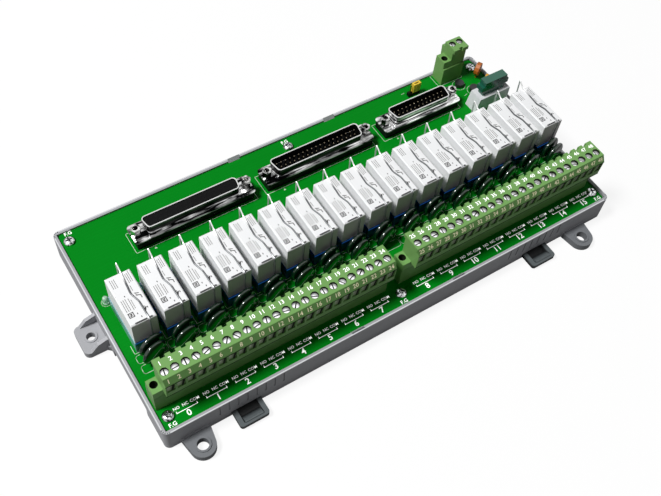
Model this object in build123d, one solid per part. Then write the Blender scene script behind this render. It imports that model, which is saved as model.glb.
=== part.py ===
from build123d import *
import math
import os

# Sixteen-channel relay board on a moulded carrier that snaps onto a 35 mm rail.
# Millimetres. Origin: centre of the carrier's underside. X runs along the long side,
# +Y is the side with the data connectors, +Z is up. An inset is measured inwards from the
# carrier's outer edge, left, right, front or back as its name or note says.

# how finely small repeated round forms are faceted
disc_sides = 12
well_sides = 8
screw_sides = 6
lamp_sides = 6
pin_sides = 4

# carrier moulding
carrier_length = 271.0
carrier_width = 127.0
carrier_height = 16.0
carrier_corner = 3.0
carrier_wall = 1.8
board_ledge = 1.6            # inner step that the board edge rests on
floor_bottom = 7.0           # underside of the floor, which is also the rail seat
floor_thickness = 2.0
rib_thickness = 2.0
boss_diameter = 7.0
boss_pilot = 2.6
wall_groove_depth = 0.35
wall_groove_width = 0.7
wall_groove_pitch = 4.9
wall_groove_count = 8
wall_groove_left_inset = 27.6
wall_groove_right_inset = 70.0
snap_width = 7.0
snap_reach = 2.4
snap_rise = 1.2
snap_offset = 31.0
snap_clearance = 0.1

# 35 mm rail seat
rail_width = 35.0
rail_lip = 1.0
rail_seat_inset = 38.0       # front edge to the rail's centre line
rail_clearance = 0.4
hook_reach = 2.0
hook_height = 3.2
hook_gap = 0.3

# fixing ears
ear_thickness = 4.0
side_ear_left_inset = 14.9
side_ear_right_inset = 22.5
side_ear_reach = 7.5         # wall to hole centre
side_ear_radius = 6.3
side_ear_base = 15.4
side_ear_hole = 5.8
ear_boss_ring = 1.1
ear_boss_rise = 0.5
end_ear_y = 5.9
end_ear_reach = 12.3
end_ear_width = 17.0
end_ear_flare = 1.6
end_ear_corner = 3.0
end_ear_hole = 4.5
end_ear_inset = 6.1          # wall to hole centre
end_rib_thickness = 1.8
end_rib_top = 10.0           # at the wall
end_rib_knee = 8.0
end_rib_knee_reach = 5.4     # wall to the knee
end_rib_reach = 9.0

# sliding rail latches
latch_left_inset = 41.8
latch_right_inset = 50.5
latch_width = 15.6
latch_thickness = 2.6
latch_underside = 1.0
latch_handle_reach = 9.4     # how far the handle stands out of the wall
latch_rim = 2.4
latch_front_rim = 1.5
latch_web = 0.9              # floor left under the finger pocket
latch_pocket_length = 8.4
latch_ramp_length = 4.6
latch_ramp_rise = 0.5
latch_ramp_gap = 0.5
latch_corner = 1.6
latch_clearance = 0.3
latch_travel = 3.5
latch_lip_width = 2.6
latch_nose_length = 2.2

# circuit board
board_thickness = 1.6
rim_rise = 1.0               # rim of the carrier above the board
board_clearance = 0.2
board_corner = 1.2
board_screw_end_inset = 6.0
board_screw_side_inset = 8.2
board_hole = 3.4
screw_head_diameter = 5.8
screw_head_height = 2.2
screw_shank = 2.4
screw_shank_length = 8.0

# screw terminals: pluggable, 5.08 mm pitch
pole_pitch = 5.08
terminal_end_room = 13.5     # half the carrier's length that a strip leaves free
first_pole_inset = 10.3      # left edge to the left strip's pole one
last_pole_inset = 8.96       # right edge to the right strip's last pole
terminal_row_inset = 17.7    # front edge to the line of header pins
header_depth = 8.6
header_height = 12.0
header_wall = 0.9
header_floor = 2.0
flange_width = 5.0
flange_hole = 4.0
flange_insert = 2.8
plug_seat_gap = 0.1
field_plug_top = 30.0
plug_flange_height = 4.8
plug_tongue_gap = 0.15
plug_tongue_slot = 2.2
plug_tongue_clear = 0.4
field_overhang = 3.7         # front of the plug ahead of the header
plug_front_drop = 14.3       # the drops are measured down from the plug's top
plug_ledge_drop = 3.7
plug_ledge_reach = 0.5
plug_band_drop = 3.0
plug_band_inset = 2.0
plug_back_inset = 1.0
clamp_hole = 4.2
clamp_hole_depth = 3.0
clamp_row_inset = 5.0        # plug's front to the row of clamp screws
clamp_screw_gap = 0.15
clamp_screw_height = 1.7
wire_opening_width = 4.0
wire_opening_drop = 4.6
wire_opening_height = 5.8
wire_opening_depth = 6.2
cage_gap = 0.1
cage_setback = 0.7
tab_width = 2.6
tab_reach = 1.3
tab_height = 2.4
pin_width = 1.0
pin_height = 9.6

# relays in sockets
relay_count = 16
first_relay_inset = 14.7     # left edge to the middle of the first relay
last_relay_inset = 10.6
relay_row_y = -4.1
relay_length = 29.0
relay_width = 12.7
relay_height = 15.7
relay_edge = 0.5
socket_height = 8.3
socket_margin = 0.3
socket_post_width = 5.0
socket_post_depth = 1.6
socket_post_rise = 3.0
clip_wire = 0.8
clip_lift = 0.05
clip_tail_back = 3.4         # finger loop behind the relay
clip_tail_rise = 3.2

# surge varistors, two discs in front of each relay
varistor_diameter = 14.0
varistor_thickness = 3.0
varistor_rear_gap = 3.6      # relay front to the middle of the rear disc
varistor_spacing = 4.1

# status lamps, one beside each relay
lamp_diameter = 3.0
lamp_height = 5.0
lamp_nose = 1.2
lamp_taper = 35.0
lamp_side_x = -7.6
lamp_row_y = 17.5

# D-shaped data connectors
connector_row_inset = 24.7   # back edge to the connectors' middle line
middle_connector_x = 8.3
left_connector_gap = 6.88    # between the flanges of neighbours
right_connector_gap = 7.72
long_shell = 55.42
long_contacts = 37
short_shell = 38.96
short_contacts = 25
long_flange_more = 13.90     # how much longer the flange is than the shell
short_flange_more = 14.08
screw_spacing_more = 8.08
connector_depth = 12.55
connector_corner = 2.0
flange_top = 6.4             # above the board
flange_sheet = 0.5
shell_rise = 6.0
plug_shell_depth = 8.36
socket_shell_depth = 7.90
socket_shell_less = 0.58     # how much narrower the receptacle's shell is
shell_wall = 0.5
shell_corner = 2.2
shell_slant = 10.0
insulator_margin = 0.9
insulator_inset = 0.05
pin_face_rise = 0.9
socket_face_inset = 0.3
contact_pitch = 2.77
contact_row_spacing = 2.84
contact_diameter = 1.0
contact_top = 4.9
jack_across = 4.75
jack_height = 5.0
jack_bore = 2.85
jack_bore_depth = 4.0

# supply terminal
supply_poles = 2
supply_pole_inset = 23.2     # right edge to pole one
supply_row_inset = 6.7       # back edge to the line of header pins
supply_plug_top = 25.0
supply_overhang = 1.9

# blade fuse and its holder
fuse_end_inset = 13.7        # from the right edge
fuse_back_inset = 34.9
fuse_length = 19.1
fuse_width = 5.1
fuse_top = 20.0
fuse_cap_height = 6.4
fuse_body_length = 15.8
fuse_body_height = 6.0
fuse_gap = 0.1
blade_width = 5.2
blade_thickness = 0.7
blade_length = 6.5
blade_spacing = 9.8
holder_length = 24.0
holder_width = 9.0
holder_height = 10.0
holder_shift = -1.0          # the holder is not centred under its fuse
holder_slope = 2.2           # how far its left end leans in

# selection jumper
jumper_end_inset = 49.7      # from the right edge
jumper_back_inset = 8.9
jumper_pitch = 2.54
jumper_pins_count = 3
jumper_base_height = 2.5
jumper_pin = 0.64
jumper_pin_height = 8.5
cap_length = 5.0
cap_width = 2.4
cap_height = 6.2

# small parts
can_insets = [(21.0, 16.5), (15.5, 23.9)]    # from the right edge and the back edge
can_diameter = 5.6
can_height = 2.6
disc_end_inset = 6.9         # from the right edge
disc_back_inset = 15.3
disc_diameter = 8.0
disc_thickness = 2.6
disc_lift = 2.2
disc_turn = 30.0             # how far the discs are turned from the long side
small_disc_end_inset = 4.9
small_disc_back_inset = 22.5
small_disc_diameter = 5.0
small_disc_thickness = 2.4
small_disc_lift = 1.2
lead_width = 0.6
lead_spacing = 2.5

# worked-out levels and places
board_top = carrier_height - rim_rise
board_bottom = board_top - board_thickness
floor_top = floor_bottom + floor_thickness
half_length = carrier_length / 2
half_width = carrier_width / 2
rail_middle = rail_seat_inset - half_width
rail_front = rail_middle - rail_width / 2 - rail_clearance
rail_back = rail_middle + rail_width / 2 + rail_clearance
wall_groove_starts = (wall_groove_left_inset - half_length, half_length - wall_groove_right_inset)
side_ear_places = (side_ear_left_inset - half_length, half_length - side_ear_right_inset)
latch_left = latch_left_inset - half_length
latch_right = half_length - latch_right_inset
board_screw_x = half_length - board_screw_end_inset
board_screw_y = half_width - board_screw_side_inset
left_pole_one = first_pole_inset - half_length
terminal_row_y = terminal_row_inset - half_width
terminal_poles = int((half_length - terminal_end_room) / pole_pitch)
right_pole_one = half_length - last_pole_inset - (terminal_poles - 1) * pole_pitch
relay_pitch = (carrier_length - first_relay_inset - last_relay_inset) / (relay_count - 1)
connector_row_y = half_width - connector_row_inset
long_flange = long_shell + long_flange_more
short_flange = short_shell + short_flange_more
long_screw_spacing = long_shell + screw_spacing_more
short_screw_spacing = short_shell + screw_spacing_more
left_connector_x = middle_connector_x - long_flange - left_connector_gap
right_connector_x = middle_connector_x + long_flange / 2 + right_connector_gap + short_flange / 2
supply_pole_one_x = half_length - supply_pole_inset
supply_row_y = half_width - supply_row_inset
fuse_x = half_length - fuse_end_inset
fuse_y = half_width - fuse_back_inset
jumper_x = half_length - jumper_end_inset
jumper_y = half_width - jumper_back_inset
can_places = [(half_length - end, half_width - back) for end, back in can_insets]
disc_place = (half_length - disc_end_inset, half_width - disc_back_inset)
small_disc_place = (half_length - small_disc_end_inset, half_width - small_disc_back_inset)


def block(x0, x1, y0, y1, z0, z1):
    """A plain box between two corners."""
    return Pos((x0 + x1) / 2, (y0 + y1) / 2, (z0 + z1) / 2) * Box(x1 - x0, y1 - y0, z1 - z0)


def rounded_prism(length, width, corner, z0, z1):
    """A slab with rounded upright corners, centred on the Z axis."""
    return Pos(0, 0, z0) * extrude(RectangleRounded(length, width, corner), amount=z1 - z0)


def post(diameter, x, y, z0, z1):
    """A round post or hole standing along Z."""
    return Pos(x, y, (z0 + z1) / 2) * Cylinder(diameter / 2, z1 - z0)


def prism_post(diameter, sides, x, y, z0, z1):
    """A regular prism standing along Z, its corners on the given diameter."""
    return Pos(x, y, z0) * extrude(RegularPolygon(diameter / 2, sides), amount=z1 - z0, dir=(0, 0, 1))


def along_x(points, x0, x1):
    """A profile given as (y, z) points, drawn out along X."""
    face = Plane.YZ * make_face(Polyline([*points, points[0]]))
    return Pos(x0, 0, 0) * extrude(face, amount=x1 - x0)


def side_ear(x):
    """Round-nosed fixing ear on the front wall."""
    wall = carrier_wall / 2 - half_width
    centre = -half_width - side_ear_reach
    nose = Pos(x, centre) * Circle(side_ear_radius)
    root = Pos(x, wall) * Rectangle(side_ear_base, 0.01)
    tab = extrude(make_hull(nose.edges() + root.edges()), amount=ear_thickness)
    ring = prism_post(side_ear_hole + 2 * ear_boss_ring, disc_sides, x, centre,
                      0, ear_thickness + ear_boss_rise)
    return tab + ring, post(side_ear_hole, x, centre, -1, ear_thickness + 2)


def end_ear(side):
    """Square fixing ear on a short wall, with a rising rib along each flank."""
    wall = side * (half_length - carrier_wall / 2)
    tip = side * (half_length + end_ear_reach)
    half = end_ear_width / 2
    flank = [
        (wall, half + end_ear_flare),
        (side * half_length, half + end_ear_flare),
        (side * (half_length + end_ear_flare), half),
        (tip, half),
    ]
    corners = [(x, end_ear_y + y) for x, y in flank]
    corners += [(x, end_ear_y - y) for x, y in reversed(flank)]
    outline = make_face(Polyline([*corners, corners[0]]))
    tips = [v for v in outline.vertices() if abs(v.X - tip) < 0.01]
    ear = extrude(fillet(tips, end_ear_corner), amount=ear_thickness, dir=(0, 0, 1))
    start = side * (half_length + end_rib_reach)
    profile = [
        (wall, ear_thickness / 2),
        (wall, end_rib_top),
        (side * (half_length + end_rib_knee_reach), end_rib_knee),
        (start, ear_thickness),
        (start, ear_thickness / 2),
    ]
    rib_face = Plane.XZ * make_face(Polyline([*profile, profile[0]]))
    rib = extrude(rib_face, amount=end_rib_thickness, dir=(0, 1, 0))
    ear += Pos(0, end_ear_y - half, 0) * rib
    ear += Pos(0, end_ear_y + half - end_rib_thickness, 0) * rib
    hole_x = side * (half_length + end_ear_inset)
    ear += prism_post(end_ear_hole + 2 * ear_boss_ring, disc_sides, hole_x, end_ear_y,
                      0, ear_thickness + ear_boss_rise)
    return ear, post(end_ear_hole, hole_x, end_ear_y, -1, ear_thickness + 2)


def latch_guide(x):
    """Housing that a latch slides in, and the room cut through it and the front wall."""
    half = latch_width / 2 + latch_clearance
    inner = rail_front - rib_thickness - latch_travel
    body = block(x - half - rib_thickness, x + half + rib_thickness,
                 -half_width + carrier_wall / 2, inner, 0, floor_bottom + 0.5)
    room_top = latch_underside + latch_thickness + latch_clearance
    room = block(x - half, x + half, -half_width - 1, inner + 1,
                 latch_underside - latch_clearance, room_top)
    slit = block(x - half + latch_lip_width, x + half - latch_lip_width,
                 -half_width - 1, inner + 1, -1, latch_underside)
    nose_top = floor_bottom - rail_lip
    gate = block(x - half, x + half, rail_front - rib_thickness - 1, rail_front + 1, -1, nose_top)
    return body, room + slit + gate


def carrier_tray():
    """One grey moulding: walls, floor, board ledge, rail seat, ears and latch guides."""
    tray = rounded_prism(carrier_length, carrier_width, carrier_corner, 0, carrier_height)
    for inset, z0, z1 in (
        (carrier_wall, board_bottom, carrier_height + 1),
        (carrier_wall + board_ledge, floor_top, board_bottom + 1),
        (carrier_wall, -1, floor_bottom),
    ):
        tray -= block(inset - half_length, half_length - inset,
                      inset - half_width, half_width - inset, z0, z1)
    span = half_length - carrier_wall / 2
    for low in (rail_front - rib_thickness, rail_back, -rib_thickness / 2):
        tray += block(-span, span, low, low + rib_thickness, 0, floor_bottom + 0.5)
    for x in (latch_left, latch_right):
        half = latch_width / 2
        hook_top = floor_bottom - rail_lip - hook_gap
        tray += along_x([
            (rail_back + rib_thickness / 2, hook_top),
            (rail_back - rail_clearance - hook_reach, hook_top),
            (rail_back - rail_clearance - hook_reach, hook_top - hook_height / 2),
            (rail_back + rib_thickness / 2, hook_top - hook_height),
        ], x - half, x + half)
        body, room = latch_guide(x)
        tray += body
        tray -= room
    for side in (-1, 1):
        ear, cut = end_ear(side)
        tray += ear
        tray -= cut
        wall = side * (half_length - carrier_wall / 2)
        tray -= block(wall - 2 * carrier_wall, wall + 2 * carrier_wall,
                      rail_front, rail_back, -1, floor_bottom)
        for x in (-snap_offset, snap_offset):
            lip = side * (half_width - carrier_wall / 2)
            reach = side * (half_width - snap_reach)
            low = board_top + snap_clearance
            tray += along_x([
                (lip, low), (reach, low), (lip, carrier_height + snap_rise),
            ], x - snap_width / 2, x + snap_width / 2)
    for x in side_ear_places:
        ear, cut = side_ear(x)
        tray += ear
        tray -= cut
    for start in wall_groove_starts:
        for i in range(wall_groove_count):
            x = start + i * wall_groove_pitch
            tray -= block(x, x + wall_groove_width, -half_width - 1, -half_width + wall_groove_depth,
                          floor_bottom, carrier_height - rim_rise)
    for x in (-board_screw_x, 0, board_screw_x):
        for y in (-board_screw_y, board_screw_y):
            tray += prism_post(boss_diameter, well_sides, x, y, floor_top - 0.5, board_bottom)
            tray -= prism_post(boss_pilot, well_sides, x, y, floor_bottom - 1, board_bottom + 1)
    return tray


def rail_latch(x):
    """Sliding latch: nose under the rail lip, flat strip, and a finger pocket outside."""
    half = latch_width / 2
    tip = rail_front + rail_clearance + hook_reach
    handle = -half_width - latch_handle_reach
    top = latch_underside + latch_thickness
    nose_top = floor_bottom - rail_lip - latch_clearance
    strip = Pos(x, (tip + handle) / 2) * RectangleRounded(latch_width, tip - handle, latch_corner)
    latch = Pos(0, 0, latch_underside) * extrude(strip, amount=latch_thickness)
    latch += along_x([
        (tip - latch_nose_length, top - 0.2), (tip - 0.6, top - 0.2),
        (tip - 0.6, nose_top), (tip - latch_nose_length, nose_top),
    ], x - half + latch_corner, x + half - latch_corner)
    low = handle + latch_front_rim
    floor = latch_underside + latch_web
    latch -= block(x - half + latch_rim, x + half - latch_rim, low, low + latch_pocket_length, floor, top + 1)
    latch += along_x([
        (low - 0.2, floor - 0.2), (low - 0.2, top + latch_ramp_rise),
        (low + 0.6, top + latch_ramp_rise), (low + latch_ramp_length, floor - 0.2),
    ], x - half + latch_rim + latch_ramp_gap, x + half - latch_rim - latch_ramp_gap)
    return latch


def circuit_board():
    """Bare board with its six fixing holes."""
    gap = 2 * (carrier_wall + board_clearance)
    half_x = (carrier_length - gap) / 2
    half_y = (carrier_width - gap) / 2
    board = block(-half_x, half_x, -half_y, half_y, board_bottom, board_top)
    board = chamfer(board.edges().filter_by(Axis.Z), board_corner)
    for x in (-board_screw_x, 0, board_screw_x):
        for y in (-board_screw_y, board_screw_y):
            board -= prism_post(board_hole, well_sides, x, y, board_bottom - 1, board_top + 1)
    return board


def board_screw(x, y):
    """Pan-head screw through the board into its boss."""
    head = prism_post(screw_head_diameter, well_sides, x, y, board_top, board_top + screw_head_height)
    return head + prism_post(screw_shank, screw_sides, x, y, board_top - screw_shank_length, board_top + 0.1)


def terminal_span(poles):
    """Ends of a terminal strip's row of poles, from pole one."""
    return -pole_pitch / 2, (poles - 0.5) * pole_pitch


def terminal_header(poles):
    """Upright header: a trough with a fixing flange beside pole one."""
    x0, x1 = terminal_span(poles)
    half = header_depth / 2
    header = block(x0 - flange_width, x1, -half, half, 0, header_height)
    header -= block(x0 + header_wall, x1 - header_wall, -half + header_wall, half - header_wall,
                    header_floor, header_height + 1)
    return header - prism_post(flange_insert, well_sides, x0 - flange_width / 2, 0,
                               header_floor, header_height + 1)


def terminal_plug(poles, plug_top, overhang):
    """Angled plug: screws on top, wire entries in front, tongue inside the header."""
    x0, x1 = terminal_span(poles)
    half = header_depth / 2
    seat = header_height + plug_seat_gap
    entry_top = plug_top - wire_opening_drop
    front = -half - overhang
    back = half - plug_back_inset
    plug = along_x([
        (-half - plug_seat_gap, seat), (back, seat), (back, plug_top),
        (front + plug_band_inset - plug_ledge_reach, plug_top),
        (front + plug_band_inset, plug_top - plug_band_drop),
        (front - plug_ledge_reach, plug_top - plug_ledge_drop),
        (front, plug_top - plug_front_drop), (-half - plug_seat_gap, plug_top - plug_front_drop),
    ], x0, x1)
    inner = half - header_wall - plug_tongue_gap
    low = header_floor + plug_tongue_clear
    plug += block(x0 + header_wall + plug_tongue_gap, x1 - header_wall - plug_tongue_gap,
                  -inner, inner, low, seat + 0.5)
    plug -= block(x0 + pole_pitch / 4, x1 - pole_pitch / 4, -plug_tongue_slot / 2, plug_tongue_slot / 2,
                  low - 1, pin_height + plug_tongue_clear)
    flange = block(x0 - flange_width, x0 + 0.5, -half, back, seat, seat + plug_flange_height)
    plug += flange
    plug -= prism_post(flange_hole, disc_sides, x0 - flange_width / 2, 0,
                       seat - 1, seat + plug_flange_height + 1)
    plug += block(x0, x1, back - 0.5, back + tab_reach, plug_top - tab_height, plug_top)
    for i in range(poles - 1):
        gap = (i + 0.5) * pole_pitch
        half_gap = (pole_pitch - tab_width) / 2
        plug -= block(gap - half_gap, gap + half_gap, back, back + tab_reach + 1,
                      plug_top - tab_height - 1, plug_top + 1)
    for i in range(poles):
        x = i * pole_pitch
        plug -= prism_post(clamp_hole, well_sides, x, front + clamp_row_inset,
                           plug_top - clamp_hole_depth, plug_top + 1)
        plug -= block(x - wire_opening_width / 2, x + wire_opening_width / 2, front - 1,
                      front + wire_opening_depth, entry_top - wire_opening_height, entry_top)
    return plug


def clamp_screws(poles, plug_top, overhang):
    """Slotted clamp screws at the bottom of the plug's wells."""
    screws = []
    row = clamp_row_inset - header_depth / 2 - overhang
    bottom = plug_top - clamp_hole_depth
    for i in range(poles):
        screws.append(prism_post(clamp_hole - 2 * clamp_screw_gap, screw_sides, i * pole_pitch, row,
                                 bottom, bottom + clamp_screw_height))
    return screws


def wire_clamps(poles, plug_top, overhang):
    """Clamp jaws drawn up behind the wire entries."""
    cages = []
    front = -header_depth / 2 - overhang
    half = wire_opening_width / 2 - cage_gap
    top = plug_top - wire_opening_drop
    for i in range(poles):
        x = i * pole_pitch
        cages.append(block(x - half, x + half, front + cage_setback, front + wire_opening_depth - cage_gap,
                           top - wire_opening_height, top - cage_gap))
    return cages


def header_pins(poles):
    """Square contact pins standing on the header's floor."""
    half = pin_width / 2
    return [block(i * pole_pitch - half, i * pole_pitch + half, -half, half, header_floor, pin_height)
            for i in range(poles)]


def seated(shapes, place, faces_back):
    """Puts pieces of a strip on the board; a strip that faces back is mirrored first."""
    if isinstance(shapes, list):
        return [seated(shape, place, faces_back) for shape in shapes]
    return place * (mirror(shapes, Plane.XZ) if faces_back else shapes)


def relay_place(i):
    """Centre of relay i on the board."""
    return first_relay_inset - half_length + i * relay_pitch, relay_row_y


def relay(i):
    """Sealed relay case with softened edges."""
    x, y = relay_place(i)
    low = board_top + socket_height
    case = Pos(x, y, low + relay_height / 2) * Box(relay_width, relay_length, relay_height)
    upper = [e for e in case.edges() if e.center().Z > low + relay_height - 0.01]
    return chamfer(upper, relay_edge)


def relay_socket(i):
    """Socket block with a post that holds the clip."""
    x, y = relay_place(i)
    half_x = relay_width / 2 + socket_margin
    half_y = relay_length / 2 + socket_margin
    top = board_top + socket_height
    body = block(x - half_x, x + half_x, y - half_y, y + half_y, board_top, top)
    body += block(x - socket_post_width / 2 + 1, x + socket_post_width / 2 + 1,
                  y + half_y - socket_margin / 2, y + half_y + socket_post_depth,
                  board_top, top + socket_post_rise)
    return body


def relay_clip(i):
    """Spring wire clip: from the front of the socket, over the relay, to a finger loop."""
    x, y = relay_place(i)
    top = board_top + socket_height + relay_height + clip_wire / 2 + clip_lift
    front = y - relay_length / 2 - socket_margin - clip_wire / 2 - clip_lift
    rear = y + relay_length / 2 + socket_margin + socket_post_depth + clip_wire / 2 + clip_lift
    route = [
        (x + 2.6, front, board_top + socket_height / 2),
        (x + 2.6, front, top),
        (x + 2.4, y - 4.1, top),
        (x + 0.8, y + 1.2, top),
        (x + 1.8, y + relay_length / 2, top),
        (x + 1.6, y + relay_length / 2 + clip_tail_back, top + clip_tail_rise),
        (x + 1.4, rear, board_top + socket_height),
        (x + 1.4, rear, board_top + socket_height / 2),
    ]
    path = Polyline(route)
    section = Plane(origin=path @ 0, z_dir=path % 0) * Rectangle(clip_wire, clip_wire)
    return sweep(section, path=path, transition=Transition.RIGHT)


def upright_disc(diameter, thickness):
    """A disc standing on one flat at the origin, facing along Y."""
    flat = diameter / 2 * math.cos(math.pi / disc_sides)
    face = Plane.XZ * RegularPolygon(diameter / 2, disc_sides, rotation=180 / disc_sides)
    return Pos(0, thickness / 2, flat) * extrude(face, amount=thickness, dir=(0, -1, 0))


def varistor(i, row):
    """Lacquered disc standing across the board."""
    x, y = relay_place(i)
    y -= relay_length / 2 + varistor_rear_gap + row * varistor_spacing
    return Pos(x, y, board_top) * upright_disc(varistor_diameter, varistor_thickness)


def status_lamp(i):
    """Small lamp with a tapered nose."""
    x, y = relay_place(i)
    outline = Pos(x + lamp_side_x, y + lamp_row_y, board_top) * RegularPolygon(lamp_diameter / 2, lamp_sides)
    neck = lamp_height - lamp_nose
    lower = extrude(outline, amount=neck, dir=(0, 0, 1))
    return lower + extrude(Pos(0, 0, neck) * outline, amount=lamp_nose, dir=(0, 0, 1), taper=lamp_taper)


def d_outline(width, depth, corner):
    """The D shape: a trapezium with slanted ends and round corners, wide side at the back."""
    slant = depth * math.tan(math.radians(shell_slant))
    points = [(-width / 2, depth / 2), (width / 2, depth / 2),
              (width / 2 - slant, -depth / 2), (-width / 2 + slant, -depth / 2)]
    face = make_face(Polyline([*points, points[0]]))
    return fillet(face.vertices(), corner)


def contact_places(count):
    """The two staggered rows of contacts, the longer one at the wide side."""
    long_row = (count + 1) // 2
    places = [((j - (long_row - 1) / 2) * contact_pitch, contact_row_spacing / 2) for j in range(long_row)]
    places += [((j - (long_row - 2) / 2) * contact_pitch, -contact_row_spacing / 2)
               for j in range(count - long_row)]
    return places


def upright(face, z0, z1):
    """A flat outline drawn up from z0 to z1."""
    return Pos(0, 0, z0) * extrude(face, amount=z1 - z0, dir=(0, 0, 1))


def shell_sizes(shell, is_socket):
    """Outside width and depth of the shell's collar."""
    if is_socket:
        return shell - socket_shell_less, socket_shell_depth
    return shell + 2 * shell_wall, plug_shell_depth + 2 * shell_wall


def connector_shell(flange, shell, is_socket):
    """Drawn steel shell: flat flange with a D-shaped collar."""
    top = board_top + flange_top
    width, depth = shell_sizes(shell, is_socket)
    body = upright(RectangleRounded(flange, connector_depth, connector_corner), top - flange_sheet, top)
    body += upright(d_outline(width, depth, shell_corner), top - flange_sheet, top + shell_rise)
    inner = d_outline(width - 2 * shell_wall, depth - 2 * shell_wall, shell_corner - shell_wall)
    body -= upright(inner, top - flange_sheet - 1, top + shell_rise + 1)
    return body


def connector_insulator(flange, shell, is_socket):
    """Black moulding under the flange and inside the collar."""
    under = board_top + flange_top - flange_sheet
    width, depth = shell_sizes(shell, is_socket)
    body = block(-flange / 2 + insulator_margin, flange / 2 - insulator_margin,
                 -connector_depth / 2 + insulator_margin, connector_depth / 2 - insulator_margin,
                 board_top, under)
    rise = shell_rise - socket_face_inset if is_socket else pin_face_rise
    gap = 2 * (shell_wall + insulator_inset)
    face = d_outline(width - gap, depth - gap, shell_corner - shell_wall)
    face_top = board_top + flange_top + rise
    return body + upright(face, under - 0.5, face_top)


def contact_pins(count):
    """Contact pins of a plug connector."""
    base = board_top + flange_top + pin_face_rise
    top = board_top + flange_top + contact_top
    return [prism_post(contact_diameter, pin_sides, x, y, base, top) for x, y in contact_places(count)]


def jack_posts(spacing):
    """Hexagonal threaded posts at both ends of a connector."""
    base = board_top + flange_top
    posts = []
    for side in (-1, 1):
        hexagon = Pos(side * spacing / 2, 0) * RegularPolygon(jack_across / 2, 6, major_radius=False)
        body = upright(hexagon, base, base + jack_height)
        posts.append(body - post(jack_bore, side * spacing / 2, 0,
                                 base + jack_height - jack_bore_depth, base + jack_height + 1))
    return posts


def fuse_holder():
    """Pale block with a slot for each blade, its left end leaning in."""
    seat = board_top + holder_height
    left = fuse_x + holder_shift - holder_length / 2
    right = left + holder_length
    outline = [(left, board_top), (right, board_top), (right, seat), (left + holder_slope, seat)]
    face = Plane.XZ * make_face(Polyline([*outline, outline[0]]))
    body = Pos(0, fuse_y + holder_width / 2, 0) * extrude(face, amount=holder_width)
    for side in (-1, 1):
        centre = fuse_x + side * blade_spacing / 2
        body -= block(centre - blade_width / 2 - fuse_gap, centre + blade_width / 2 + fuse_gap,
                      fuse_y - blade_thickness / 2 - fuse_gap, fuse_y + blade_thickness / 2 + fuse_gap,
                      seat - blade_length - 1, seat + 1)
    return body


def blade_fuse():
    """Plug-in blade fuse: wide cap, narrower body and two blades."""
    top = board_top + fuse_top
    seat = board_top + holder_height
    half = fuse_width / 2
    fuse = block(fuse_x - fuse_body_length / 2, fuse_x + fuse_body_length / 2,
                 fuse_y - half + 0.4, fuse_y + half - 0.4, seat, top - fuse_cap_height + 0.5)
    cap = block(fuse_x - fuse_length / 2, fuse_x + fuse_length / 2, fuse_y - half, fuse_y + half,
                top - fuse_cap_height, top)
    for side in (-1, 1):
        end = fuse_x + side * fuse_length / 2
        inner = fuse_x + side * fuse_body_length / 2
        cap -= block(min(end + side, inner), max(end + side, inner), fuse_y - half - 1, fuse_y + half + 1,
                     top - fuse_cap_height / 2, top + 1)
    fuse += cap
    for side in (-1, 1):
        centre = fuse_x + side * blade_spacing / 2
        fuse += block(centre - blade_width / 2, centre + blade_width / 2,
                      fuse_y - blade_thickness / 2, fuse_y + blade_thickness / 2,
                      seat - blade_length, seat + 0.5)
    return fuse


def jumper_places():
    """Pin centres of the selection header."""
    return [jumper_x + (j - (jumper_pins_count - 1) / 2) * jumper_pitch for j in range(jumper_pins_count)]


def jumper_base():
    """Black strip that holds the selection pins."""
    half = jumper_pins_count * jumper_pitch / 2
    body = block(jumper_x - half, jumper_x + half, jumper_y - jumper_pitch / 2, jumper_y + jumper_pitch / 2,
                 board_top, board_top + jumper_base_height)
    for x in jumper_places():
        body -= block(x - jumper_pin / 2, x + jumper_pin / 2, jumper_y - jumper_pin / 2,
                      jumper_y + jumper_pin / 2, board_top - 1, board_top + jumper_base_height + 1)
    return body


def jumper_pins():
    """Square selection pins."""
    half = jumper_pin / 2
    return [block(x - half, x + half, jumper_y - half, jumper_y + half,
                  board_top, board_top + jumper_pin_height) for x in jumper_places()]


def jumper_cap():
    """Bridging cap on the last two pins, open through the middle."""
    places = jumper_places()[-2:]
    middle = sum(places) / 2
    base = board_top + jumper_base_height
    cap = block(middle - cap_length / 2, middle + cap_length / 2, jumper_y - cap_width / 2,
                jumper_y + cap_width / 2, base, base + cap_height)
    half = jumper_pin / 2 + fuse_gap
    return cap - block(places[0] - half, places[1] + half, jumper_y - half, jumper_y + half, base - 1,
                       base + cap_height + 1)


def capacitor_can(x, y):
    """Low black can."""
    return prism_post(can_diameter, disc_sides, x, y, board_top, board_top + can_height)


def leaded_disc(place, diameter, thickness, lift):
    """Dipped disc on two leads, turned a little across the board."""
    part = Pos(0, 0, lift) * upright_disc(diameter, thickness)
    half = lead_width / 2
    for side in (-1, 1):
        lead = side * lead_spacing / 2
        part += block(lead - half, lead + half, -half, half, 0, lift + diameter / 4)
    return Pos(*place, board_top) * Rot(0, 0, disc_turn) * part


def save(name, shape):
    """Writes one node; a list of solids becomes one group."""
    if isinstance(shape, list):
        shape = Compound(children=[s.solid() if not isinstance(s, Solid) else s for s in shape])
    export_step(shape, f"parts/{name}.step")


os.makedirs("parts", exist_ok=True)
screw_places = [(x, y) for x in (-board_screw_x, 0, board_screw_x) for y in (-board_screw_y, board_screw_y)]

save("carrier_tray", carrier_tray())
save("rail_latch_left", rail_latch(latch_left))
save("rail_latch_right", rail_latch(latch_right))
save("circuit_board", circuit_board())
save("board_screws", [board_screw(x, y) for x, y in screw_places])

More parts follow.
